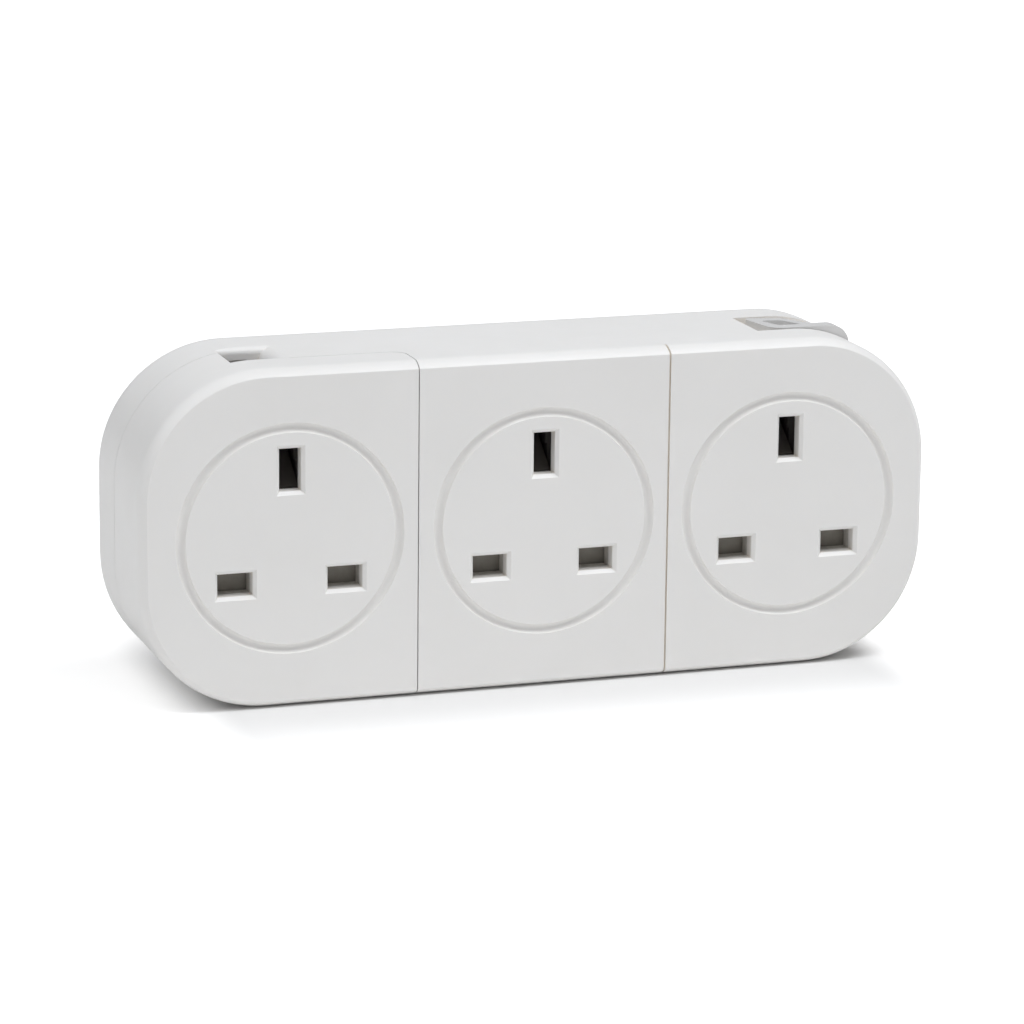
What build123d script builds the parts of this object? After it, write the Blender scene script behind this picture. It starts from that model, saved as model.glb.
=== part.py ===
from build123d import *
import os

# Trailing socket extension lead with three outlets, in millimetres.
# X runs along the row of outlets, Y from the face to the back, Z up.
# The origin is under the middle of the body, on the surface that it stands on.
# Depths are counted from the face of the body towards its back.

# Body
LENGTH = 164.0
HEIGHT = 67.4
DEPTH = 38.5
CORNER_RADIUS = 25.2
EDGE_DEPTH = 3.2
EDGE_DROP = 1.4
EDGE_ARC = (EDGE_DEPTH ** 2 + EDGE_DROP ** 2) / (2 * EDGE_DROP)
EDGE_ROUNDING = 0.25
BACK_ROUNDING = 5.5
SIDE_WALL = 2.4
FACE_WALL = 3.0
BACK_WALL = 2.5
SPLIT_DEPTH = 33.0
MID_HEIGHT = HEIGHT / 2
OVERSHOOT = 1.0

# Outlets: three pins each, at the standard spacing of rectangular pins
OUTLET_PITCH = 52.0
OUTLET_X = [-OUTLET_PITCH, 0.0, OUTLET_PITCH]
OUTLET_NAMES = ["left", "middle", "right"]
PIN_PITCH = 22.2
LINE_Z = 25.3
EARTH_Z = LINE_Z + PIN_PITCH
POWER_X = PIN_PITCH / 2
EARTH_HOLE = (4.4, 8.5)
POWER_HOLE = (7.1, 4.6)
HOLE_BEVEL = 0.7
RING_RADIUS = 22.05
RING_Z = 33.9
RING_BALL = 1.0
RING_BALL_LIFT = 0.25

# Joint between the segments, and the seam round the wiring cover
SEGMENT_X = OUTLET_PITCH / 2
JOINT_GAP = 0.22
GROOVE_WIDTH = 0.4
GROOVE_DEPTH = 0.6
SEAM_GAP = 0.15
COVER_DEPTH = 11.0
COVER_END_DEPTH = 21.0
COVER_CORNER = 3.0
LIP_REACH = 3.4
LIP_THICKNESS = 1.4

# Outlet for the flexible cord, on top of the wiring compartment
CORD_LEFT = -60.9
CORD_RIGHT = -52.4
CORD_BACK = 22.6
CORD_X = (CORD_LEFT + CORD_RIGHT) / 2
BELLMOUTH = 3.4
BACK_BELLMOUTH = 1.3
CHUTE_Z = 61.5

# Cord clamp
CLAMP_Z = 58.5
CLAMP_HALF_HEIGHT = 2.7
CLAMP_SPREAD = 8.5
CLAMP_BAR_FRONT = 10.7
CLAMP_BAR_BACK = 13.9
CLAMP_BOSS = 2.5
SADDLE_BACK = 26.0
CORD_RADIUS = 4.0

# Screws from the back
SCREW_RADIUS = 1.45
SCREW_HOLE = 1.5
SCREW_HEAD_RADIUS = 2.8
SCREW_HEAD_HEIGHT = 2.0
SCREW_LENGTH = 14.0
COUNTERBORE_RADIUS = 3.3
COUNTERBORE_FLOOR = 35.4
BOSS_RADIUS = 3.2
BOSS_LOW_Z = 9.0
BOSS_HIGH_Z = HEIGHT - BOSS_LOW_Z
COVER_BOSSES = [(-65.0, 10.5), (-33.0, BOSS_LOW_Z), (-33.0, BOSS_HIGH_Z)]
HOUSING_BOSSES = [(26.0, BOSS_LOW_Z), (26.0, BOSS_HIGH_Z), (65.0, 10.5), (73.4, 49.0)]

# Contact carrier of one outlet
PLATE_BACK = 5.5
DECK_FRONT = 9.2
DECK_BACK = 11.2
SHROUD_BACK = 23.0
CARRIER_HALF_WIDTH = 18.0
CARRIER_LOW_Z = 17.5
CARRIER_HIGH_Z = 54.6
RAIL_THICKNESS = 1.8
TOWER_HALF_WIDTH = 4.2
TOWER_LOW_Z = 7.0
TOWER_WALL_TOP = 16.4
SPRING_SEAT_Z = 9.0
SHROUD_WALL = 1.2
PEG_RADIUS = 1.5
PEG_X = 14.5
PEG_Z = 49.0

# Shutter: a wing behind the two power holes, and a ramp behind the earth hole
SHUTTER_FRONT = 5.8
SHUTTER_BACK = 8.8
SHUTTER_HALF_WIDTH = 15.8
WING_HALF_HEIGHT = 3.1
STEM_HALF_WIDTH = 3.0
RAMP_FOOT_Z = 43.0
RAMP_TOP_Z = 48.7
RAMP_BACK = 13.2
SHUTTER_TRAVEL = 5.4
SPRING_RADIUS = 1.35
SPRING_WIRE = 0.23
SPRING_TURNS = 6.5
SPRING_PEG_RADIUS = 0.9
SPRING_PEG_LENGTH = 3.0

# Contacts and the strips that join them
SHEET = 0.6
STRIP_FRONT = SHROUD_BACK + SHEET
STRIP_BACK = STRIP_FRONT + 1.0
CLIP_WIDTH = 6.0
CLIP_SPREAD = 2.6
CLIP_NIP = 1.5
EARTH_STRIP = (44.5, 50.5)
LIVE_STRIP = (30.0, 36.0)
NEUTRAL_STRIP = (14.2, 19.2)
POST_RADIUS = 2.2

# Terminals in the wiring compartment
TERMINAL_SIZE = 6.0
TERMINAL_FRONT = 14.6
TERMINAL_X = {"live": -74.0, "neutral": -70.8, "earth": -73.4}
TERMINAL_WIRE_RADIUS = 1.5
TERMINAL_SCREW_RADIUS = 1.4
TERMINAL_SCREW_RISE = 2.6

# Swing-out hanging loop in its recess on the right shoulder
PIVOT_X = 65.2
PIVOT_Z = 63.6
KNUCKLE_RADIUS = 4.0
LOOP_FRONT = 11.6
LOOP_LEG_BACK = 15.0
LOOP_TOP = PIVOT_Z + KNUCKLE_RADIUS
LOOP_THICKNESS = 2.4
PIN_RADIUS = 1.5
PIN_CLEARANCE = 0.05
RECESS_LEFT = 49.0
RECESS_FRONT = 11.2
RECESS_BACK = 25.0
RECESS_FLOOR = 64.5
WELL_BACK = 15.4
WELL_RADIUS = 4.35
WELL_FLOOR = 61.0
LUG_RADIUS = 3.0
LUG_BACK = 17.5
TRAY_WALL = 1.7


def y_at(depth):
    """Y of a depth behind the face."""
    return depth - DEPTH / 2


def block(x_low, x_high, front, back, z_low, z_high):
    """Box between two X, two depths and two heights."""
    size = (x_high - x_low, back - front, z_high - z_low)
    centre = ((x_low + x_high) / 2, y_at((front + back) / 2), (z_low + z_high) / 2)
    return Pos(*centre) * Box(*size)


def slab(sketch, front, back):
    """Extrude a sketch drawn in X and Z between two depths."""
    plane = Plane.XZ.offset(-y_at(back))
    return extrude(plane * sketch, back - front)


def rod(x, z, radius, front, back):
    """Round bar along Y."""
    return slab(Pos(x, z) * Circle(radius), front, back)


def plan_prism(points, z_low, z_high, radii=None):
    """Extrude an outline of X and depth between two heights, with its corners rounded."""
    corners = [(x, y_at(depth)) for x, depth in points]
    face = make_face(Polyline(*corners, close=True))
    for index, radius in (radii or {}).items():
        corner = min(face.vertices(), key=lambda v: (v.X - corners[index][0]) ** 2 + (v.Y - corners[index][1]) ** 2)
        face = fillet(corner, radius)
    return extrude(Pos(0, 0, z_low) * face, z_high - z_low)


def outline(inset):
    """Rounded outline of the body, set in by a distance."""
    shape = RectangleRounded(LENGTH - 2 * inset, HEIGHT - 2 * inset, CORNER_RADIUS - inset)
    return Pos(0, MID_HEIGHT) * shape


def body_form(inset=0.0):
    """Outer form of the body: a shallow arc round the face, ending in a crisp edge, and a rounded back."""
    arc_front = EDGE_DEPTH - EDGE_ARC + inset
    form = slab(outline(inset), arc_front, DEPTH - inset)
    front_edges = form.faces().sort_by(Axis.Y)[0].edges()
    form = fillet(front_edges, EDGE_ARC - inset)
    back_edges = form.faces().sort_by(Axis.Y)[-1].edges()
    form = fillet(back_edges, BACK_ROUNDING - inset)
    form &= block(-LENGTH, LENGTH, inset, DEPTH, -OVERSHOOT, HEIGHT + OVERSHOOT)
    if inset:
        return form
    return fillet(form.faces().sort_by(Axis.Y)[0].edges(), EDGE_ROUNDING)


def cover_region(gap):
    """Prism that parts the wiring cover from the housing, drawn back by a gap."""
    joint = -SEGMENT_X - (JOINT_GAP if gap else 0.0)
    side = COVER_DEPTH - gap
    end = COVER_END_DEPTH - gap
    step = CORD_LEFT - gap
    far = -LENGTH / 2 - OVERSHOOT
    points = [
        (far, -OVERSHOOT),
        (joint, -OVERSHOOT),
        (joint, side),
        (step, side),
        (step, end),
        (far, end),
    ]
    return plan_prism(points, -OVERSHOOT, HEIGHT + OVERSHOOT, {2: COVER_CORNER})


def pin_hole(x, z, size):
    """Cutter for one pin hole with its bevelled mouth."""
    width, height = size
    hole = slab(Pos(x, z) * Rectangle(width, height), -OVERSHOOT, FACE_WALL + OVERSHOOT)
    rim = Pos(x, z) * Rectangle(width + 2 * HOLE_BEVEL, height + 2 * HOLE_BEVEL)
    mouth = extrude(Plane.XZ.offset(-y_at(0)) * rim, HOLE_BEVEL, dir=(0, 1, 0), taper=45)
    return hole + mouth


def outlet_cutter(x):
    """Cutters of one outlet: three pin holes and the ring groove round them."""
    cutter = pin_hole(x, EARTH_Z, EARTH_HOLE)
    for side in (-1, 1):
        cutter += pin_hole(x + side * POWER_X, LINE_Z, POWER_HOLE)
    ring = Pos(x, y_at(-RING_BALL_LIFT), RING_Z) * Rot(90, 0, 0) * Torus(RING_RADIUS, RING_BALL)
    return cutter + ring


def screw_boss(x, z):
    """Boss that takes a screw from the back."""
    return rod(x, z, BOSS_RADIUS, FACE_WALL - 0.5, SPLIT_DEPTH)


def pilot_hole(x, z):
    """Hole of a boss for its screw."""
    return rod(x, z, SCREW_HOLE, SPLIT_DEPTH - SCREW_LENGTH, SPLIT_DEPTH + OVERSHOOT)


def carrier_pegs(x):
    """Two pegs behind the face that place a contact carrier."""
    pegs = [rod(x + side * PEG_X, PEG_Z, PEG_RADIUS, FACE_WALL - 0.5, PLATE_BACK) for side in (-1, 1)]
    return pegs[0] + pegs[1]


def front_shell():
    """Walls in front of the split, as one shell, before it is parted."""
    form = body_form() & block(-LENGTH, LENGTH, -OVERSHOOT, SPLIT_DEPTH, -OVERSHOOT, HEIGHT + OVERSHOOT)
    shell = form - slab(outline(SIDE_WALL), FACE_WALL, SPLIT_DEPTH + OVERSHOOT)
    for x in OUTLET_X:
        shell -= outlet_cutter(x)
    return shell


def segment_groove():
    """Narrow groove down the face between the middle and right segments."""
    skin = body_form() - body_form(GROOVE_DEPTH)
    half = GROOVE_WIDTH / 2
    strip = block(SEGMENT_X - half, SEGMENT_X + half, -OVERSHOOT, EDGE_DEPTH, -OVERSHOOT, HEIGHT + OVERSHOOT)
    return skin & strip


def lap_lip():
    """Lip of the housing under the edge of the wiring cover."""
    inside = outline(SIDE_WALL + SEAM_GAP) - outline(SIDE_WALL + SEAM_GAP + LIP_THICKNESS)
    rim = slab(inside, FACE_WALL, COVER_DEPTH)
    sheet = slab(outline(SIDE_WALL + SEAM_GAP), FACE_WALL, FACE_WALL + LIP_THICKNESS)
    reach = block(-SEGMENT_X - LIP_REACH, -SEGMENT_X, FACE_WALL, COVER_DEPTH, 0, HEIGHT)
    root = slab(outline(SIDE_WALL / 2), FACE_WALL - 0.5, COVER_DEPTH)
    root -= slab(outline(SIDE_WALL + LIP_THICKNESS), FACE_WALL + LIP_THICKNESS, COVER_DEPTH)
    root &= block(-SEGMENT_X, -SEGMENT_X + 2.0, FACE_WALL - 0.5, COVER_DEPTH, 0, HEIGHT)
    return ((rim + sheet) & reach) + root


def cord_saddle():
    """Wall behind the cord, with the two bosses of the clamp."""
    wall = block(
        CORD_X - CLAMP_SPREAD - CLAMP_BOSS,
        CORD_X + CLAMP_SPREAD + CLAMP_BOSS,
        CORD_BACK,
        SADDLE_BACK,
        CLAMP_Z - CLAMP_HALF_HEIGHT,
        HEIGHT,
    )
    chute = block(CORD_RIGHT, CORD_RIGHT + BELLMOUTH, COVER_DEPTH, SADDLE_BACK, CHUTE_Z, HEIGHT)
    groove = Pos(CORD_X, y_at(CORD_BACK - CORD_RADIUS + 0.6), CLAMP_Z) * Cylinder(CORD_RADIUS, 2 * HEIGHT)
    saddle = (wall + chute) & slab(outline(SIDE_WALL / 2), 0, DEPTH)
    for side in (-1, 1):
        saddle += rod(CORD_X + side * CLAMP_SPREAD, CLAMP_Z, CLAMP_BOSS, CLAMP_BAR_BACK, SADDLE_BACK)
    return saddle - groove


def cord_opening():
    """Cutter of the cord outlet, belled out at its right and back edges."""
    top = HEIGHT + OVERSHOOT
    edge_x = CORD_RIGHT + BELLMOUTH
    edge_back = CORD_BACK + BACK_BELLMOUTH
    hole = block(CORD_LEFT, CORD_RIGHT, COVER_DEPTH - OVERSHOOT, CORD_BACK, CHUTE_Z, top)
    bell = block(CORD_RIGHT - OVERSHOOT, edge_x, COVER_DEPTH, CORD_BACK, HEIGHT - BELLMOUTH, top)
    bell += block(CORD_LEFT, edge_x, CORD_BACK - OVERSHOOT, edge_back, HEIGHT - BACK_BELLMOUTH, top)
    bell -= rod(edge_x, HEIGHT - BELLMOUTH, BELLMOUTH, COVER_DEPTH - OVERSHOOT, edge_back + OVERSHOOT)
    back_axis = Pos(CORD_X, y_at(edge_back), HEIGHT - BACK_BELLMOUTH) * Rot(0, 90, 0)
    bell -= back_axis * Cylinder(BACK_BELLMOUTH, 2 * (edge_x - CORD_X))
    return hole + bell


def loop_tray():
    """Thick floor and walls of the loop's recess, before it is cut."""
    tray = block(
        RECESS_LEFT - TRAY_WALL,
        PIVOT_X + WELL_RADIUS,
        RECESS_FRONT - TRAY_WALL,
        RECESS_BACK + TRAY_WALL,
        RECESS_FLOOR - TRAY_WALL,
        HEIGHT,
    )
    well = block(
        PIVOT_X - WELL_RADIUS - TRAY_WALL,
        PIVOT_X + WELL_RADIUS + TRAY_WALL,
        RECESS_FRONT - 1.5 * TRAY_WALL,
        LUG_BACK + TRAY_WALL,
        PIVOT_Z - WELL_RADIUS - TRAY_WALL,
        HEIGHT,
    )
    return (tray + well) & slab(outline(SIDE_WALL / 2), 0, DEPTH)


def loop_recess():
    """Cutter of the recess, with the round well of the knuckle and the way out over the shoulder."""
    top = HEIGHT + OVERSHOOT
    right = LENGTH / 2
    recess = block(RECESS_LEFT, right, RECESS_FRONT, RECESS_BACK, RECESS_FLOOR, top)
    recess -= rod(PIVOT_X, PIVOT_Z, LUG_RADIUS, WELL_BACK, LUG_BACK)
    recess += rod(PIVOT_X, PIVOT_Z, WELL_RADIUS, RECESS_FRONT, WELL_BACK)
    recess += block(PIVOT_X, right, RECESS_FRONT, WELL_BACK, WELL_FLOOR, top)
    pin_end = LUG_BACK - PIN_CLEARANCE
    return recess + rod(PIVOT_X, PIVOT_Z, PIN_RADIUS + PIN_CLEARANCE, RECESS_FRONT - 2 * TRAY_WALL, pin_end)


def main_housing():
    """Face of the middle and right segments with all the side walls, as one moulding."""
    housing = front_shell() - cover_region(0.0) - segment_groove()
    housing += lap_lip()
    housing += cord_saddle()
    housing -= cord_opening()
    housing += loop_tray()
    housing -= loop_recess()
    for x in OUTLET_X[1:]:
        housing += carrier_pegs(x)
    for x, z in HOUSING_BOSSES:
        housing += screw_boss(x, z)
    for x, z in HOUSING_BOSSES:
        housing -= pilot_hole(x, z)
    for side in (-1, 1):
        housing -= rod(CORD_X + side * CLAMP_SPREAD, CLAMP_Z, SCREW_HOLE, CLAMP_BAR_BACK - 1, SADDLE_BACK - 1)
    return housing


def left_end_cover():
    """Face and deep end wall of the left segment, over the wiring compartment."""
    cover = front_shell() & cover_region(SEAM_GAP)
    cover += carrier_pegs(OUTLET_X[0])
    for x, z in COVER_BOSSES:
        cover += screw_boss(x, z)
    for x, z in COVER_BOSSES:
        cover -= pilot_hole(x, z)
    return cover


def rear_cover():
    """Shallow back dish with counterbored bosses and the posts that press on the strips."""
    cover = body_form() & block(-LENGTH, LENGTH, SPLIT_DEPTH, DEPTH + OVERSHOOT, -OVERSHOOT, HEIGHT + OVERSHOOT)
    cover -= slab(outline(SIDE_WALL + 1), SPLIT_DEPTH - OVERSHOOT, DEPTH - BACK_WALL)
    spigot = outline(SIDE_WALL + SEAM_GAP) - outline(SIDE_WALL + 1 + SEAM_GAP)
    cover += slab(spigot, SPLIT_DEPTH - 2.0, SPLIT_DEPTH)
    screws = COVER_BOSSES + HOUSING_BOSSES
    for x, z in screws:
        cover += rod(x, z, COUNTERBORE_RADIUS + 1.5, SPLIT_DEPTH, DEPTH - BACK_WALL / 2)
    for x, z in screws:
        cover -= rod(x, z, COUNTERBORE_RADIUS, COUNTERBORE_FLOOR, DEPTH + OVERSHOOT)
        cover -= rod(x, z, SCREW_HOLE, SPLIT_DEPTH - OVERSHOOT, COUNTERBORE_FLOOR)
    for x, z in strip_posts():
        cover += rod(x, z, POST_RADIUS, STRIP_BACK, DEPTH - BACK_WALL / 2)
    return cover


def strip_posts():
    """Places of the posts, one on each strip at each outlet."""
    posts = []
    for x in OUTLET_X:
        posts.append((x, sum(EARTH_STRIP) / 2))
        posts.append((x + POWER_X, sum(LIVE_STRIP) / 2))
        posts.append((x - POWER_X, sum(NEUTRAL_STRIP) / 2))
    return posts


def shroud(x, z, half_width, half_height, front):
    """Square tube round one contact."""
    outer = Pos(x, z) * Rectangle(2 * (half_width + SHROUD_WALL), 2 * (half_height + SHROUD_WALL))
    inner = Pos(x, z) * Rectangle(2 * half_width, 2 * half_height)
    return slab(outer - inner, front, SHROUD_BACK)


def contact_carrier(x):
    """Moulding behind one outlet: window plate, shutter slot, deck and contact shrouds."""
    left = x - CARRIER_HALF_WIDTH
    right = x + CARRIER_HALF_WIDTH
    tower_left = x - TOWER_HALF_WIDTH
    tower_right = x + TOWER_HALF_WIDTH
    carrier = block(left, right, FACE_WALL, DECK_BACK, CARRIER_LOW_Z, CARRIER_HIGH_Z)
    carrier += block(tower_left, tower_right, FACE_WALL, DECK_BACK, TOWER_LOW_Z, CARRIER_LOW_Z)
    slot_half = CARRIER_HALF_WIDTH - RAIL_THICKNESS
    carrier -= block(x - slot_half, x + slot_half, PLATE_BACK, DECK_FRONT, CARRIER_LOW_Z - 1, CARRIER_HIGH_Z + 1)
    channel_half = TOWER_HALF_WIDTH - RAIL_THICKNESS
    carrier -= block(x - channel_half, x + channel_half, PLATE_BACK, DECK_FRONT, SPRING_SEAT_Z, CARRIER_LOW_Z)
    carrier -= block(tower_left, tower_right, PLATE_BACK, DECK_FRONT, TOWER_WALL_TOP, CARRIER_LOW_Z)
    wing_top = LINE_Z + WING_HALF_HEIGHT
    for side in (-1, 1):
        low, high = sorted((x + side * (slot_half - 3), x + side * slot_half))
        carrier += block(low, high, PLATE_BACK, DECK_FRONT, wing_top + 0.1, wing_top + 2.1)
        power_x = x + side * POWER_X
        carrier += shroud(power_x, LINE_Z, 4.0, 4.2, DECK_BACK)
        window = Pos(power_x, LINE_Z) * Rectangle(*POWER_HOLE)
        carrier -= slab(window, FACE_WALL - 1, DECK_BACK + 1)
        carrier -= rod(x + side * PEG_X, PEG_Z, PEG_RADIUS + 0.05, FACE_WALL - 1, PLATE_BACK + 1)
    carrier += shroud(x, EARTH_Z, 4.2, 4.4, DECK_BACK)
    earth_window = Pos(x, EARTH_Z) * Rectangle(EARTH_HOLE[0] + 2, EARTH_HOLE[1] + 2)
    carrier -= slab(earth_window, FACE_WALL - 1, DECK_BACK)
    ramp_low = RAMP_FOOT_Z - SHUTTER_TRAVEL - 2.2
    carrier -= block(x - 3.6, x + 3.6, DECK_FRONT - 1, RAMP_BACK + 0.4, ramp_low, EARTH_Z)
    return carrier


def shutter(x):
    """One shutter: wing, stem and ramp, with the peg that holds its spring."""
    wing_low = LINE_Z - WING_HALF_HEIGHT
    wing_high = LINE_Z + WING_HALF_HEIGHT
    half = SHUTTER_HALF_WIDTH
    wing = block(x - half, x + half, SHUTTER_FRONT, SHUTTER_BACK, wing_low, wing_high)
    underside_drop = 2.3
    profile = [
        (SHUTTER_FRONT, wing_low),
        (SHUTTER_FRONT, RAMP_FOOT_Z),
        (RAMP_BACK, RAMP_TOP_Z),
        (RAMP_BACK, RAMP_TOP_Z - underside_drop),
        (SHUTTER_BACK, RAMP_FOOT_Z - underside_drop / 2),
        (SHUTTER_BACK, wing_low),
    ]
    corners = [(y_at(depth), z) for depth, z in profile]
    side_plane = Plane.YZ.offset(x - STEM_HALF_WIDTH)
    stem = extrude(side_plane * make_face(Polyline(*corners, close=True)), 2 * STEM_HALF_WIDTH)
    peg_y = y_at((SHUTTER_FRONT + SHUTTER_BACK) / 2)
    peg_z = wing_low - SPRING_PEG_LENGTH / 2
    peg = Pos(x, peg_y, peg_z) * Cylinder(SPRING_PEG_RADIUS, SPRING_PEG_LENGTH)
    return wing + stem + peg


def shutter_spring(x):
    """Open coil spring between the seat of the carrier and the wing of the shutter."""
    low = SPRING_SEAT_Z + SPRING_WIRE
    high = LINE_Z - WING_HALF_HEIGHT - SPRING_WIRE
    path = Helix((high - low) / SPRING_TURNS, high - low, SPRING_RADIUS)
    section = Plane(path @ 0, z_dir=path % 0) * Circle(SPRING_WIRE)
    coil = sweep(section, path=path, is_frenet=True)
    return Pos(x, y_at((SHUTTER_FRONT + SHUTTER_BACK) / 2), low) * coil


def folded_clip(depth_mouth):
    """Section of a spring clip, drawn as depth and offset from the pin's centre."""
    leaf = [
        (depth_mouth, CLIP_SPREAD),
        (depth_mouth + 2.2, CLIP_NIP),
        (SHROUD_BACK - 3.0, CLIP_SPREAD),
        (SHROUD_BACK, CLIP_SPREAD),
    ]
    points = leaf + [(depth, -offset) for depth, offset in reversed(leaf)]
    line = Polyline(*[(y_at(depth), offset) for depth, offset in points])
    ribbon = offset(line, SHEET, side=Side.LEFT)
    return make_face(ribbon)


def power_contact(x):
    """Clip that grips a power pin from above and below."""
    section = folded_clip(DECK_BACK + 0.6)
    plane = Plane.YZ.offset(x - CLIP_WIDTH / 2)
    return extrude(plane * (Pos(0, LINE_Z) * section), CLIP_WIDTH)


def earth_contact(x):
    """Clip that grips the earth pin from both sides."""
    section = folded_clip(RAMP_BACK + 1.0)
    plane = Plane((x, 0, EARTH_Z - CLIP_WIDTH / 2), x_dir=(0, 1, 0), z_dir=(0, 0, 1))
    return extrude(plane * section, CLIP_WIDTH)


def strip(left, right, heights):
    """Straight conductor strip along the row."""
    return block(left, right, STRIP_FRONT, STRIP_BACK, *heights)


def power_strip(side, heights, terminal_x):
    """Strip with a tab up or down to each contact of its pole."""
    last = OUTLET_X[-1] + side * POWER_X + CLIP_WIDTH / 2
    bar = strip(terminal_x - TERMINAL_SIZE / 2, last, heights)
    reach = CLIP_SPREAD + SHEET
    low = min(heights[0], LINE_Z - reach)
    high = max(heights[1], LINE_Z + reach)
    for x in OUTLET_X:
        centre = x + side * POWER_X
        bar += strip(centre - CLIP_WIDTH / 2, centre + CLIP_WIDTH / 2, (low, high))
    return bar


def earth_strip():
    """Strip behind the three earth contacts."""
    left = TERMINAL_X["earth"] - TERMINAL_SIZE / 2
    return strip(left, OUTLET_X[-1] + CLIP_WIDTH / 2, EARTH_STRIP)


def terminal(pole, heights):
    """Pillar terminal on the end of a strip: a wire hole from the side and a screw hole from the face."""
    x = TERMINAL_X[pole]
    z = sum(heights) / 2
    half = TERMINAL_SIZE / 2
    pillar = block(x - half, x + half, TERMINAL_FRONT, STRIP_FRONT, z - half, z + half)
    wire_y = y_at(STRIP_FRONT - 3.2)
    pillar -= Pos(x, wire_y, z) * Cylinder(TERMINAL_WIRE_RADIUS, 2 * TERMINAL_SIZE)
    return pillar - rod(x, z, TERMINAL_SCREW_RADIUS + 0.05, TERMINAL_FRONT - 1, STRIP_FRONT - 3.2)


def slotted_screw(x, z, radius, front, back):
    """Headless screw with a driver slot, pointing back."""
    body = rod(x, z, radius, front, back)
    return body - block(x - radius, x + radius, front - 1, front + 0.8, z - 0.3, z + 0.3)


def terminal_screws():
    """Three terminal screws, one in each pillar."""
    screws = []
    for pole, heights in (("live", LIVE_STRIP), ("neutral", NEUTRAL_STRIP), ("earth", EARTH_STRIP)):
        z = sum(heights) / 2
        front = TERMINAL_FRONT - TERMINAL_SCREW_RISE
        screws.append(slotted_screw(TERMINAL_X[pole], z, TERMINAL_SCREW_RADIUS, front, STRIP_FRONT - 4.8))
    return Compound(children=screws)


def headed_screw(x, z, head_seat, tip, towards_back):
    """Pan-head screw with a cross recess, along Y."""
    way = 1 if towards_back else -1
    head_end = head_seat - way * SCREW_HEAD_HEIGHT
    shank = rod(x, z, SCREW_RADIUS, *sorted((head_seat, tip)))
    head = rod(x, z, SCREW_HEAD_RADIUS, *sorted((head_seat, head_end)))
    rim = head.edges().sort_by(Axis.Y)[0 if towards_back else -1]
    head = fillet(rim, SCREW_HEAD_HEIGHT * 0.4)
    recess_floor = head_end + way * SCREW_HEAD_HEIGHT * 0.7
    near, far = sorted((head_end - way, recess_floor))
    arm = SCREW_HEAD_RADIUS * 0.6
    cross = block(x - arm, x + arm, near, far, z - 0.35, z + 0.35)
    cross += block(x - 0.35, x + 0.35, near, far, z - arm, z + arm)
    return shank + head - cross


def cord_clamp():
    """Bar across the cord, hollowed where the cord passes, with a hole at each end."""
    half = CLAMP_SPREAD + CLAMP_BOSS
    sketch = Pos(CORD_X, CLAMP_Z) * RectangleRounded(2 * half, 2 * CLAMP_HALF_HEIGHT - 0.2, 2.0)
    bar = slab(sketch, CLAMP_BAR_FRONT, CLAMP_BAR_BACK)
    grip_y = y_at(CLAMP_BAR_BACK + CORD_RADIUS - 1.0)
    bar -= Pos(CORD_X, grip_y, CLAMP_Z) * Cylinder(CORD_RADIUS, 4 * CLAMP_HALF_HEIGHT)
    for side in (-1, 1):
        bar -= rod(CORD_X + side * CLAMP_SPREAD, CLAMP_Z, SCREW_HOLE, CLAMP_BAR_FRONT - 1, CLAMP_BAR_BACK + 1)
    return bar


def cord_clamp_screws():
    """Two screws of the cord clamp."""
    tip = SADDLE_BACK - 2
    screws = [headed_screw(CORD_X + side * CLAMP_SPREAD, CLAMP_Z, CLAMP_BAR_FRONT, tip, True) for side in (-1, 1)]
    return Compound(children=screws)


def rear_screws():
    """Seven screws that hold the body together from the back."""
    tip = SPLIT_DEPTH - SCREW_LENGTH + 1
    screws = [headed_screw(x, z, COUNTERBORE_FLOOR, tip, False) for x, z in COVER_BOSSES + HOUSING_BOSSES]
    return Compound(children=screws)


def hanging_loop():
    """Swing-out loop: a knuckle at its front right, and a tapering eye that lies to its left."""
    low = LOOP_TOP - LOOP_THICKNESS
    outer = [(PIVOT_X, LOOP_FRONT), (52.6, LOOP_FRONT), (50.4, 23.6), (58.4, 21.2), (62.2, LOOP_LEG_BACK)]
    outer.append((PIVOT_X, LOOP_LEG_BACK))
    eye = plan_prism(outer, low, LOOP_TOP, {1: 3.4, 2: 1.2, 3: 3.2})
    inner = [(55.0, 14.6), (52.8, 20.4), (57.4, 19.0), (59.8, 14.6)]
    eye -= plan_prism(inner, low - 1, LOOP_TOP + 1, {0: 1.0, 1: 0.9, 2: 1.4})
    knuckle = rod(PIVOT_X, PIVOT_Z, KNUCKLE_RADIUS, LOOP_FRONT, LOOP_LEG_BACK)
    bore = rod(PIVOT_X, PIVOT_Z, PIN_RADIUS + PIN_CLEARANCE, LOOP_FRONT - 1, LOOP_LEG_BACK + 1)
    return eye + knuckle - bore


def loop_pivot_pin():
    """Plain pin through the knuckle of the loop."""
    return rod(PIVOT_X, PIVOT_Z, PIN_RADIUS, RECESS_FRONT - 1.5 * TRAY_WALL, LUG_BACK - 2 * PIN_CLEARANCE)


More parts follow.
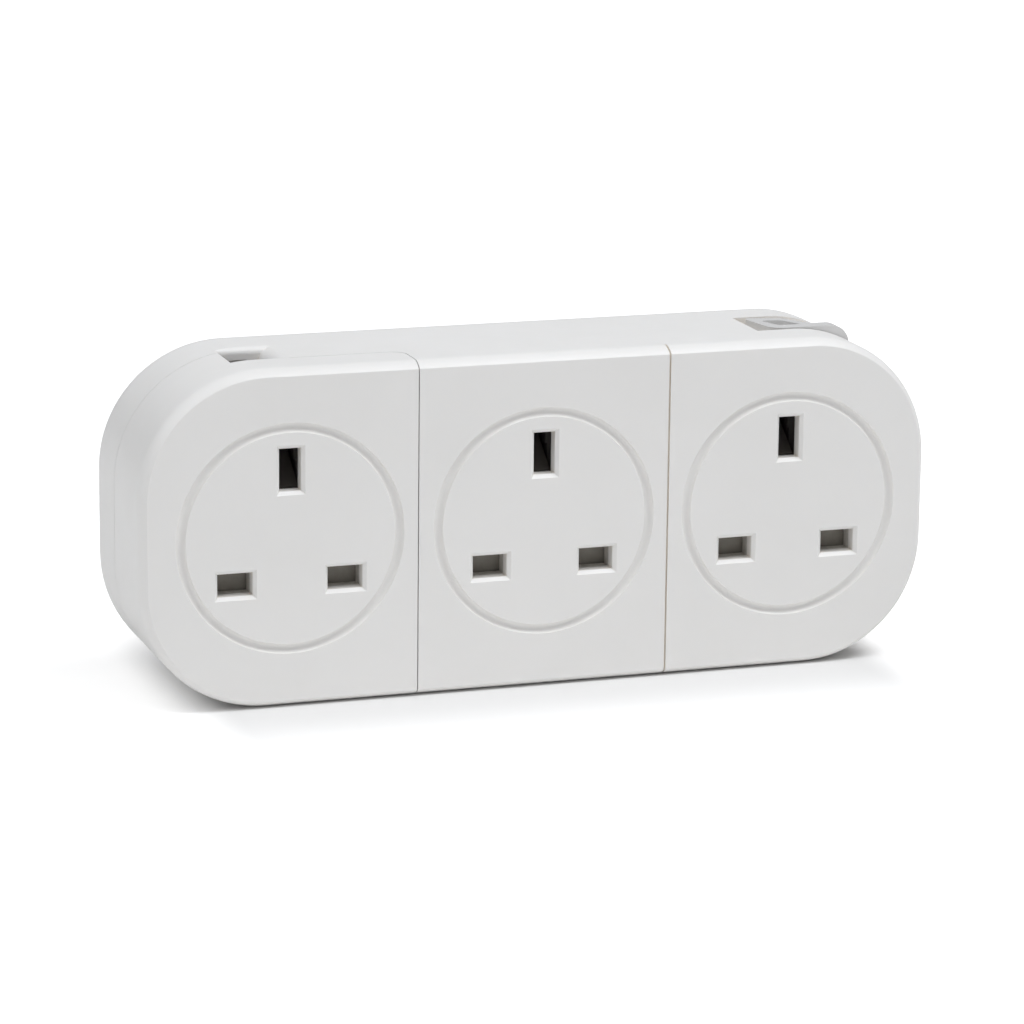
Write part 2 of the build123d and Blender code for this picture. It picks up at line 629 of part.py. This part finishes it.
def all_pieces():
    """Every piece by its name."""
    pieces = {
        "main_housing": main_housing(),
        "left_end_cover": left_end_cover(),
        "rear_cover": rear_cover(),
        "live_strip": power_strip(1, LIVE_STRIP, TERMINAL_X["live"]),
        "neutral_strip": power_strip(-1, NEUTRAL_STRIP, TERMINAL_X["neutral"]),
        "earth_strip": earth_strip(),
        "live_terminal": terminal("live", LIVE_STRIP),
        "neutral_terminal": terminal("neutral", NEUTRAL_STRIP),
        "earth_terminal": terminal("earth", EARTH_STRIP),
        "terminal_screws": terminal_screws(),
        "cord_clamp": cord_clamp(),
        "cord_clamp_screws": cord_clamp_screws(),
        "rear_screws": rear_screws(),
        "hanging_loop": hanging_loop(),
        "loop_pivot_pin": loop_pivot_pin(),
    }
    for name, x in zip(OUTLET_NAMES, OUTLET_X):
        pieces[f"{name}_contact_carrier"] = contact_carrier(x)
        pieces[f"{name}_shutter"] = shutter(x)
        pieces[f"{name}_shutter_spring"] = shutter_spring(x)
        pieces[f"{name}_live_contact"] = power_contact(x + POWER_X)
        pieces[f"{name}_neutral_contact"] = power_contact(x - POWER_X)
        pieces[f"{name}_earth_contact"] = earth_contact(x)
    return pieces


os.makedirs("parts", exist_ok=True)
for name, piece in all_pieces().items():
    export_step(piece, f"parts/{name}.step")
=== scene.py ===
import math

import bpy
from mathutils import Matrix, Vector


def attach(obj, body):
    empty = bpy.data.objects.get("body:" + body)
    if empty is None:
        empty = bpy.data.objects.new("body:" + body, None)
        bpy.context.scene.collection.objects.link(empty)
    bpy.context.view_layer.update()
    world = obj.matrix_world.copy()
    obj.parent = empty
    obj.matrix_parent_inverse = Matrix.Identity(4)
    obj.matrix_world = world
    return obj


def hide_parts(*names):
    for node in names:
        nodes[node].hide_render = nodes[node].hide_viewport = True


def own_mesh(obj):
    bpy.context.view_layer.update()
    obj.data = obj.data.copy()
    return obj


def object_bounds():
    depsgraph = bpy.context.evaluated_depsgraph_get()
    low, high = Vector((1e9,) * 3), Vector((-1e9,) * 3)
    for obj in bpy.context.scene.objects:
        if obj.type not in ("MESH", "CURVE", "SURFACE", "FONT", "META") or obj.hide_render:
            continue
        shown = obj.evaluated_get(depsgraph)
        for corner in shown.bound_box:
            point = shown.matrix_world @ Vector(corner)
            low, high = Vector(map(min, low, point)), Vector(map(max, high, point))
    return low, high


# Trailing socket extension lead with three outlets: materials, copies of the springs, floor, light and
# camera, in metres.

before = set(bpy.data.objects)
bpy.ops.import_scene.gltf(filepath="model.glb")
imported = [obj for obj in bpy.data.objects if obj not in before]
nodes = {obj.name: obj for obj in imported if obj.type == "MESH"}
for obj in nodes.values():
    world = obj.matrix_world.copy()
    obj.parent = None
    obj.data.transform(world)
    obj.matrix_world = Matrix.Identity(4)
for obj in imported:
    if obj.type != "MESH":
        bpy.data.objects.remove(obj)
cad_low, cad_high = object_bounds()

OUTLETS = ["left", "middle", "right"]
POLES = ["live", "neutral", "earth"]
MM = 0.001

# Colours, linear
BODY_WHITE = (0.796, 0.784, 0.768, 1.0)
BODY_SHADE = (0.781, 0.769, 0.752, 1.0)
# Painted light in the body's grooves, slots and recesses: a lighter, warmer cream in place of their shade
CREVICE_PAINTED_LIGHT = (0.84, 0.790, 0.720, 1.0)
# Painted shade: the carrier is dark so that the apertures look dark inside
CARRIER_PAINTED_SHADE_GREY = (0.16, 0.15, 0.14, 1.0)
CARRIER_SHADE = (0.13, 0.12, 0.11, 1.0)
# Painted light: pale carrier windows just behind the face, standing in for lit tunnel walls
WINDOW_PAINTED_LIGHT = (0.60, 0.575, 0.535, 1.0)
SHUTTER_BROWN = (0.165, 0.150, 0.135, 1.0)
SHUTTER_DARK = (0.125, 0.112, 0.100, 1.0)
# Lighter, speckled colour of the shutters' wings, towards their bottom
SHUTTER_LOWER_PALE = (0.283, 0.262, 0.228, 1.0)
LOOP_GREY = (0.80, 0.79, 0.78, 1.0)
LOOP_SHADE = (0.76, 0.75, 0.74, 1.0)
CLAMP_BLACK = (0.022, 0.022, 0.023, 1.0)
CLAMP_GREY = (0.045, 0.045, 0.047, 1.0)
BRASS = (0.72, 0.53, 0.25, 1.0)
BRASS_DULL = (0.50, 0.35, 0.16, 1.0)
ZINC = (0.60, 0.61, 0.62, 1.0)
ZINC_DULL = (0.44, 0.45, 0.46, 1.0)
SPRING_STEEL = (0.50, 0.51, 0.52, 1.0)
SPRING_DULL = (0.36, 0.36, 0.37, 1.0)
FLOOR_WHITE = (0.93, 0.922, 0.91, 1.0)
# Painted shadow: the floor as the camera sees it, darker, where its glow doesn't reach near the body
FLOOR_PAINTED_SHADOW = (0.746, 0.739, 0.730, 1.0)
WHITE = (1.0, 1.0, 1.0, 1.0)
LIGHT_TINT = (0.981, 1.0, 1.026)

# Plastics: range of roughness, and the strengths of what else the surface has
# The body's grooves and recesses get painted light, a lighter and warmer colour
BODY_FINISH = {
    "rough": (0.38, 0.50), "grain": 0.16, "soft": 0.12, "specular": 0.35, "painted_crevice_light": CREVICE_PAINTED_LIGHT}
CARRIER_FINISH = {"rough": (0.5, 0.65)}
SHUTTER_FINISH = {"rough": (0.42, 0.58)}
CLAMP_FINISH = {"rough": (0.5, 0.65), "grain": 0.35}
LOOP_FINISH = {"rough": (0.18, 0.26), "grain": 0.05, "wear": 0.6, "ior": 1.49, "clear": 0.12}

# Metals: range of roughness, and how fine the scratches are along each axis
BRASS_FINISH = {"rough": (0.30, 0.46), "stretch": (1.0, 12.0, 12.0)}
ZINC_FINISH = {"rough": (0.30, 0.5), "stretch": (6.0, 6.0, 6.0)}
SPRING_FINISH = {"rough": (0.30, 0.42), "stretch": (8.0, 8.0, 1.0)}

# Noises: scale per metre, detail and roughness
FLOW_NOISE = (38.0, 3.0, 0.55)
PATCH_NOISE = (240.0, 5.0, 0.6)
GRAIN_NOISE = (5200.0, 2.0, 0.5)
SPECK_NOISE = (700.0, 4.0, 0.55)
SCRATCH_NOISE = (900.0, 3.0, 0.55)
DULL_NOISE = (170.0, 5.0, 0.6)
FIBRE_NOISE = (900.0, 4.0, 0.55)

# The two values between which each mask or noise goes over its range
NOISE_LIMITS = (0.3, 0.7)
FLOW_LIMITS = (0.35, 0.65)
WEAR_LIMITS = (0.42, 0.62)
DULL_LIMITS = (0.40, 0.68)
EDGE_LIMITS = (0.97, 0.80)
CREVICE_LIMITS = (0.72, 0.30)
SPECK_RANGE = (0.75, 1.0)

# Bumps: strength and height
FLOW_BUMP = (0.10, 0.4 * MM)
SCRATCH_BUMP = (0.2, 0.02 * MM)
FIBRE_BUMP = (0.03, 0.05 * MM)
GRAIN_HEIGHT = 0.02 * MM

# Rubbed edges are a little lighter; grooves and slots are found from how much of the surroundings they see,
# and get painted light
EDGE_RADIUS = 0.35 * MM
EDGE_SAMPLES = 4
RUBBED_GAIN = 1.06
RUBBED_LIFT = 0.01
CREVICE_REACH = 14.0 * MM
CREVICE_SAMPLES = 8

# Light goes a short way into the plastic, red the furthest
SOFT_RADIUS = (1.0, 0.9, 0.8)
SOFT_DEPTH = 1.2 * MM

# The carriers' dark grey is painted shade in the apertures, and their windows have painted light, pale walls
# just behind the face (a depth); the shutters' wings turn lighter and speckled downwards (a height)
WINDOW_EDGE = (-13.4 * MM, -14.0 * MM)
SHUTTER_PALE_EDGE = (38.0 * MM, 32.0 * MM)

# Floor of matt paper, which the camera sees darker than it lights, and its glow, which starts outside a
# patch under the body and fades in
# over a short way, slower to the front: the patch without glow is a painted shadow
FLOOR_HALF = 3.0
FLOOR_ROUGHNESS = 0.85
FLOOR_SPECULAR = 0.15
FLOOR_GLOW = 0.56
SHADOW_PATCH_CENTRE = Vector((0.002, -0.0037, 0.0))
SHADOW_PATCH_HALF = Vector((0.065, 0.0197, 1.0))
SHADOW_PATCH_STRETCH = Vector((1.0, 0.35, 0.0))
SHADOW_PATCH_FADE = 16.0 * MM

# Light: even surroundings, a key lamp from the upper right, a lamp at the left end and a wide panel overhead
WORLD_LIGHT = 0.32
LAMPS = [
    {"name": "key_lamp", "source": (0.40, -0.26, 0.87), "spread": 25, "strength": 1.32},
    {"name": "end_lamp", "source": (-0.85, -0.1, 0.85), "spread": 60, "strength": 0.76},
]
PANEL_PLACE = Vector((0.08, -0.17, 0.52))
PANEL_TARGET = Vector((0.02, -0.08, 0.0))
PANEL_SIZE = (0.6, 0.25)
PANEL_POWER = 0.8

# Camera, fitted to the outline, the apertures and the ring grooves of the photograph
CAMERA_AZIMUTH = math.radians(-18.95)
CAMERA_ELEVATION = math.radians(13.63)
CAMERA_ROLL = math.radians(0.63)
CAMERA_DISTANCE = 0.8381
CAMERA_TARGET = Vector((-0.00682, -0.01925, 0.03617))
CAMERA_LENS = 149.6
CAMERA_CLIP = (0.01, 20.0)
SENSOR_WIDTH = 36.0


def new_material(name):
    """Node material with its tree and its Principled shader."""
    material = bpy.data.materials.new(name)
    material.use_nodes = True
    tree = material.node_tree
    return material, tree, tree.nodes["Principled BSDF"]


def plug(tree, socket, value):
    """Link an input to another node's output, or give it a fixed value."""
    if isinstance(value, bpy.types.NodeSocket):
        tree.links.new(value, socket)
    else:
        socket.default_value = value


def feed(tree, node, values):
    """Plug several inputs of a node, by name."""
    for name, value in values.items():
        plug(tree, node.inputs[name], value)


def own_coordinates(tree):
    """The object's own coordinates, which go with it when it moves."""
    return tree.nodes.new("ShaderNodeTexCoord").outputs["Object"]


def noise(tree, where, kind):
    """Noise with the scale, detail and roughness of its kind."""
    scale, detail, roughness = kind
    texture = tree.nodes.new("ShaderNodeTexNoise")
    feed(tree, texture, {"Scale": scale, "Detail": detail, "Roughness": roughness, "Vector": where})
    return texture.outputs["Fac"]


def ramp(tree, value, limits, start=0.0, end=1.0):
    """Map a value between two limits to a range."""
    mapped = tree.nodes.new("ShaderNodeMapRange")
    feed(tree, mapped, {"From Min": limits[0], "From Max": limits[1], "To Min": start, "To Max": end})
    feed(tree, mapped, {"Value": value})
    return mapped.outputs["Result"]


def maths(tree, operation, first, second):
    """Result of an operation on two values."""
    step = tree.nodes.new("ShaderNodeMath")
    step.operation = operation
    plug(tree, step.inputs[0], first)
    plug(tree, step.inputs[1], second)
    return step.outputs["Value"]


def vector_maths(tree, operation, *vectors, result="Vector"):
    """Result of an operation on one or two vectors."""
    step = tree.nodes.new("ShaderNodeVectorMath")
    step.operation = operation
    for place, vector in enumerate(vectors):
        plug(tree, step.inputs[place], vector)
    return step.outputs[result]


def mix_colours(tree, factor, first, second):
    """Mix two colours, each fixed or linked."""
    mix = tree.nodes.new("ShaderNodeMix")
    mix.data_type = "RGBA"
    plug(tree, mix.inputs["Factor"], factor)
    for name, colour in (("A", first), ("B", second)):
        socket = [entry for entry in mix.inputs if entry.name == name and entry.type == "RGBA"][0]
        plug(tree, socket, colour)
    return [entry for entry in mix.outputs if entry.type == "RGBA"][0]


def bumps(tree, shader, layers):
    """Chain of bump layers of (pattern, strength, height)."""
    normal = None
    for pattern, strength, height in layers:
        bump = tree.nodes.new("ShaderNodeBump")
        feed(tree, bump, {"Strength": strength, "Distance": height, "Height": pattern})
        if normal:
            feed(tree, bump, {"Normal": normal})
        normal = bump.outputs["Normal"]
    feed(tree, shader, {"Normal": normal})


def edge_mask(tree):
    """High on convex and concave edges: how far a rounded normal leans from the true one."""
    bevel = tree.nodes.new("ShaderNodeBevel")
    bevel.samples = EDGE_SAMPLES
    feed(tree, bevel, {"Radius": EDGE_RADIUS})
    true_normal = tree.nodes.new("ShaderNodeNewGeometry").outputs["Normal"]
    agreement = vector_maths(tree, "DOT_PRODUCT", bevel.outputs["Normal"], true_normal, result="Value")
    return ramp(tree, agreement, EDGE_LIMITS)


def crevice_painted_light_mask(tree):
    """High in grooves, slots and recesses, where little of the surroundings is in reach: where light is
    painted.
    """
    occlusion = tree.nodes.new("ShaderNodeAmbientOcclusion")
    occlusion.samples = CREVICE_SAMPLES
    occlusion.only_local = True
    feed(tree, occlusion, {"Distance": CREVICE_REACH})
    return ramp(tree, occlusion.outputs["AO"], CREVICE_LIMITS)


def moulded_plastic(
    name, colour, shade, rough,
    grain=0.25, wear=0.3, soft=0.0, specular=0.5, ior=1.5, clear=0.0, painted_crevice_light=None,
):
    """Moulded plastic with a fine grain, faint flow waviness, uneven gloss and rubbed edges. It may be soft
    or clear under the surface, and have painted light, a lighter and warmer colour, in its grooves and
    recesses."""
    material, tree, shader = new_material(name)
    where = own_coordinates(tree)
    flow = noise(tree, where, FLOW_NOISE)
    patches = noise(tree, where, PATCH_NOISE)
    tone = mix_colours(tree, ramp(tree, flow, FLOW_LIMITS), colour, shade)
    rubbed = maths(tree, "MULTIPLY", edge_mask(tree), ramp(tree, patches, WEAR_LIMITS, 0.0, wear))
    lighter = tuple(min(1.0, part * RUBBED_GAIN + RUBBED_LIFT) for part in colour[:3]) + (1.0,)
    surface = mix_colours(tree, rubbed, tone, lighter)
    # Painted light: grooves and recesses get a lighter, warmer colour
    if painted_crevice_light:
        surface = mix_colours(tree, crevice_painted_light_mask(tree), surface, painted_crevice_light)
    feed(tree, shader, {
        "Base Color": surface,
        "Roughness": ramp(tree, patches, NOISE_LIMITS, *rough),
        "Specular IOR Level": specular,
        "IOR": ior,
        "Transmission Weight": clear,
        "Subsurface Weight": soft,
        "Subsurface Radius": SOFT_RADIUS,
        "Subsurface Scale": SOFT_DEPTH,
    })
    bumps(tree, shader, [(flow, *FLOW_BUMP), (noise(tree, where, GRAIN_NOISE), grain, GRAIN_HEIGHT)])
    return material


def graded_plastic(name, colour, shade, finish, other, axis, edge):
    """Moulded plastic that turns to another, speckled colour between two places on an axis."""
    material = moulded_plastic(name, colour, shade, **finish)
    tree = material.node_tree
    base = tree.nodes["Principled BSDF"].inputs["Base Color"]
    clean = base.links[0].from_socket
    where = own_coordinates(tree)
    split = tree.nodes.new("ShaderNodeSeparateXYZ")
    feed(tree, split, {"Vector": where})
    specks = ramp(tree, noise(tree, where, SPECK_NOISE), NOISE_LIMITS, *SPECK_RANGE)
    cover = maths(tree, "MULTIPLY", ramp(tree, split.outputs[axis], edge), specks)
    plug(tree, base, mix_colours(tree, cover, clean, other))
    return material


def worked_metal(name, colour, dull, rough, stretch):
    """Rolled, drawn or plated metal with scratches and dull patches."""
    material, tree, shader = new_material(name)
    where = own_coordinates(tree)
    stretched = tree.nodes.new("ShaderNodeMapping")
    feed(tree, stretched, {"Scale": stretch, "Vector": where})
    scratches = noise(tree, stretched.outputs["Vector"], SCRATCH_NOISE)
    patches = noise(tree, where, DULL_NOISE)
    feed(tree, shader, {
        "Base Color": mix_colours(tree, ramp(tree, patches, DULL_LIMITS), colour, dull),
        "Roughness": ramp(tree, patches, NOISE_LIMITS, *rough),
        "Metallic": 1.0,
    })
    bumps(tree, shader, [(scratches, *SCRATCH_BUMP)])
    return material


def dress(material, *names):
    """Give CAD nodes their material."""
    for name in names:
        piece = nodes[name]
        piece.data.materials.clear()
        piece.data.materials.append(material)


def each_outlet(ending):
    """Names of the nodes that repeat at each outlet."""
    return [f"{outlet}_{ending}" for outlet in OUTLETS]


def dress_nodes():
    """Materials of all the CAD nodes."""
    body_plastic = moulded_plastic("body_plastic", BODY_WHITE, BODY_SHADE, **BODY_FINISH)
    # Painted shade and light: dark carrier, with pale windows just behind the face
    carrier_plastic = graded_plastic(
        "carrier_plastic", CARRIER_PAINTED_SHADE_GREY, CARRIER_SHADE, CARRIER_FINISH, WINDOW_PAINTED_LIGHT, "Y", WINDOW_EDGE)
    shutter_plastic = graded_plastic(
        "shutter_plastic", SHUTTER_BROWN, SHUTTER_DARK, SHUTTER_FINISH, SHUTTER_LOWER_PALE, "Z", SHUTTER_PALE_EDGE)
    clamp_plastic = moulded_plastic("clamp_plastic", CLAMP_BLACK, CLAMP_GREY, **CLAMP_FINISH)
    loop_plastic = moulded_plastic("loop_plastic", LOOP_GREY, LOOP_SHADE, **LOOP_FINISH)
    brass = worked_metal("brass", BRASS, BRASS_DULL, **BRASS_FINISH)
    zinc = worked_metal("zinc_steel", ZINC, ZINC_DULL, **ZINC_FINISH)
    spring_wire = worked_metal("spring_steel", SPRING_STEEL, SPRING_DULL, **SPRING_FINISH)
    dress(body_plastic, "main_housing", "left_end_cover", "rear_cover")
    dress(carrier_plastic, *each_outlet("contact_carrier"))
    dress(shutter_plastic, *each_outlet("shutter"))
    dress(spring_wire, *each_outlet("shutter_spring"))
    dress(clamp_plastic, "cord_clamp")
    dress(loop_plastic, "hanging_loop")
    dress(zinc, "terminal_screws", "cord_clamp_screws", "rear_screws", "loop_pivot_pin")
    for pole in POLES:
        dress(brass, f"{pole}_strip", f"{pole}_terminal", *each_outlet(f"{pole}_contact"))


def add_object(name, data):
    """New object in the scene."""
    thing = bpy.data.objects.new(name, data)
    bpy.context.scene.collection.objects.link(thing)
    return thing


def shortening_spring(outlet):
    """Copy of an outlet's spring, carried by the housing in place of its CAD node."""
    node = f"{outlet}_shutter_spring"
    coil = add_object(f"{outlet}_spring_coil", nodes[node].data.copy())
    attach(coil, "housing")
    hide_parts(node)
    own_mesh(coil)


def shadow_patch_distance(tree, where):
    """Stretched distance on the floor from the painted shadow patch under the body."""
    outside = vector_maths(tree, "SUBTRACT", where, SHADOW_PATCH_CENTRE)
    outside = vector_maths(tree, "ABSOLUTE", outside)
    outside = vector_maths(tree, "SUBTRACT", outside, SHADOW_PATCH_HALF)
    outside = vector_maths(tree, "MAXIMUM", outside, Vector((0.0, 0.0, 0.0)))
    outside = vector_maths(tree, "MULTIPLY", outside, SHADOW_PATCH_STRETCH)
    return vector_maths(tree, "LENGTH", outside, result="Value")


def floor_paper():
    """White paper that the camera sees darker, and that glows away from the body, only where the camera sees
    it, also through the loop: a painted shadow round the body.
    """
    material, tree, shader = new_material("floor_paper")
    where = own_coordinates(tree)
    path = tree.nodes.new("ShaderNodeLightPath")
    seen = maths(tree, "MAXIMUM", path.outputs["Is Camera Ray"], path.outputs["Is Transmission Ray"])
    # Painted shadow: no glow within the patch under the body, and a darker paper for the camera
    glow = ramp(tree, shadow_patch_distance(tree, where), (0.0, SHADOW_PATCH_FADE), 0.0, FLOOR_GLOW)
    glow.node.interpolation_type = "SMOOTHSTEP"
    feed(tree, shader, {
        "Base Color": mix_colours(tree, seen, FLOOR_WHITE, FLOOR_PAINTED_SHADOW),
        "Roughness": FLOOR_ROUGHNESS,
        "Specular IOR Level": FLOOR_SPECULAR,
        "Emission Color": WHITE,
        "Emission Strength": maths(tree, "MULTIPLY", glow, seen),
    })
    bumps(tree, shader, [(noise(tree, where, FIBRE_NOISE), *FIBRE_BUMP)])
    return material


def make_floor():
    """Plain floor that the object stands on, which takes its soft shadow and has a painted shadow round it.
    """
    corners = [(-1, -1), (1, -1), (1, 1), (-1, 1)]
    mesh = bpy.data.meshes.new("floor")
    mesh.from_pydata([(x * FLOOR_HALF, y * FLOOR_HALF, cad_low.z) for x, y in corners], [], [(0, 1, 2, 3)])
    mesh.materials.append(floor_paper())
    floor = add_object("floor", mesh)


def make_world():
    """Even pale surroundings: white where they are seen, softer as light."""
    world = bpy.data.worlds.new("studio")
    bpy.context.scene.world = world
    world.use_nodes = True
    tree = world.node_tree
    path = tree.nodes.new("ShaderNodeLightPath")
    strength = ramp(tree, path.outputs["Is Camera Ray"], (0.0, 1.0), WORLD_LIGHT, 1.0)
    feed(tree, tree.nodes["Background"], {"Color": LIGHT_TINT + (1.0,), "Strength": strength})


def add_lamp(name, kind, source, strength):
    """Lamp that shines from a direction towards the object."""
    light = bpy.data.lights.new(name, kind)
    light.energy = strength
    light.color = LIGHT_TINT
    lamp = add_object(name, light)
    lamp.rotation_mode = "QUATERNION"
    lamp.rotation_quaternion = Vector(source).to_track_quat("Z", "Y")
    return lamp


def make_lamp(name, source, spread, strength):
    """Wide, distant lamp."""
    lamp = add_lamp(name, "SUN", source, strength)
    lamp.data.angle = math.radians(spread)


def make_panel():
    """Softbox close over the object, which lights its top and makes the face darker towards the top."""
    lamp = add_lamp("panel_lamp", "AREA", PANEL_PLACE - PANEL_TARGET, PANEL_POWER)
    lamp.location = PANEL_PLACE
    lamp.data.shape = "RECTANGLE"
    lamp.data.size, lamp.data.size_y = PANEL_SIZE


def make_camera():
    """Camera at the photograph's angle, with its small roll."""
    flat = math.cos(CAMERA_ELEVATION)
    side = math.sin(CAMERA_AZIMUTH) * flat
    front = -math.cos(CAMERA_AZIMUTH) * flat
    back = Vector((side, front, math.sin(CAMERA_ELEVATION)))
    right = Vector((0, 0, 1)).cross(back).normalized()
    up = back.cross(right)
    turned_right = right * math.cos(CAMERA_ROLL) + up * math.sin(CAMERA_ROLL)
    turned_up = up * math.cos(CAMERA_ROLL) - right * math.sin(CAMERA_ROLL)
    data = bpy.data.cameras.new("camera")
    data.lens = CAMERA_LENS
    data.sensor_width = SENSOR_WIDTH
    data.clip_start, data.clip_end = CAMERA_CLIP
    camera = add_object("camera", data)
    turn = Matrix((turned_right, turned_up, back)).transposed().to_4x4()
    camera.matrix_world = Matrix.Translation(CAMERA_TARGET + back * CAMERA_DISTANCE) @ turn
    bpy.context.scene.camera = camera


dress_nodes()
for outlet_name in OUTLETS:
    shortening_spring(outlet_name)
make_floor()
make_world()
for lamp_facts in LAMPS:
    make_lamp(**lamp_facts)
make_panel()
make_camera()
bpy.context.scene.view_settings.view_transform = "Standard"
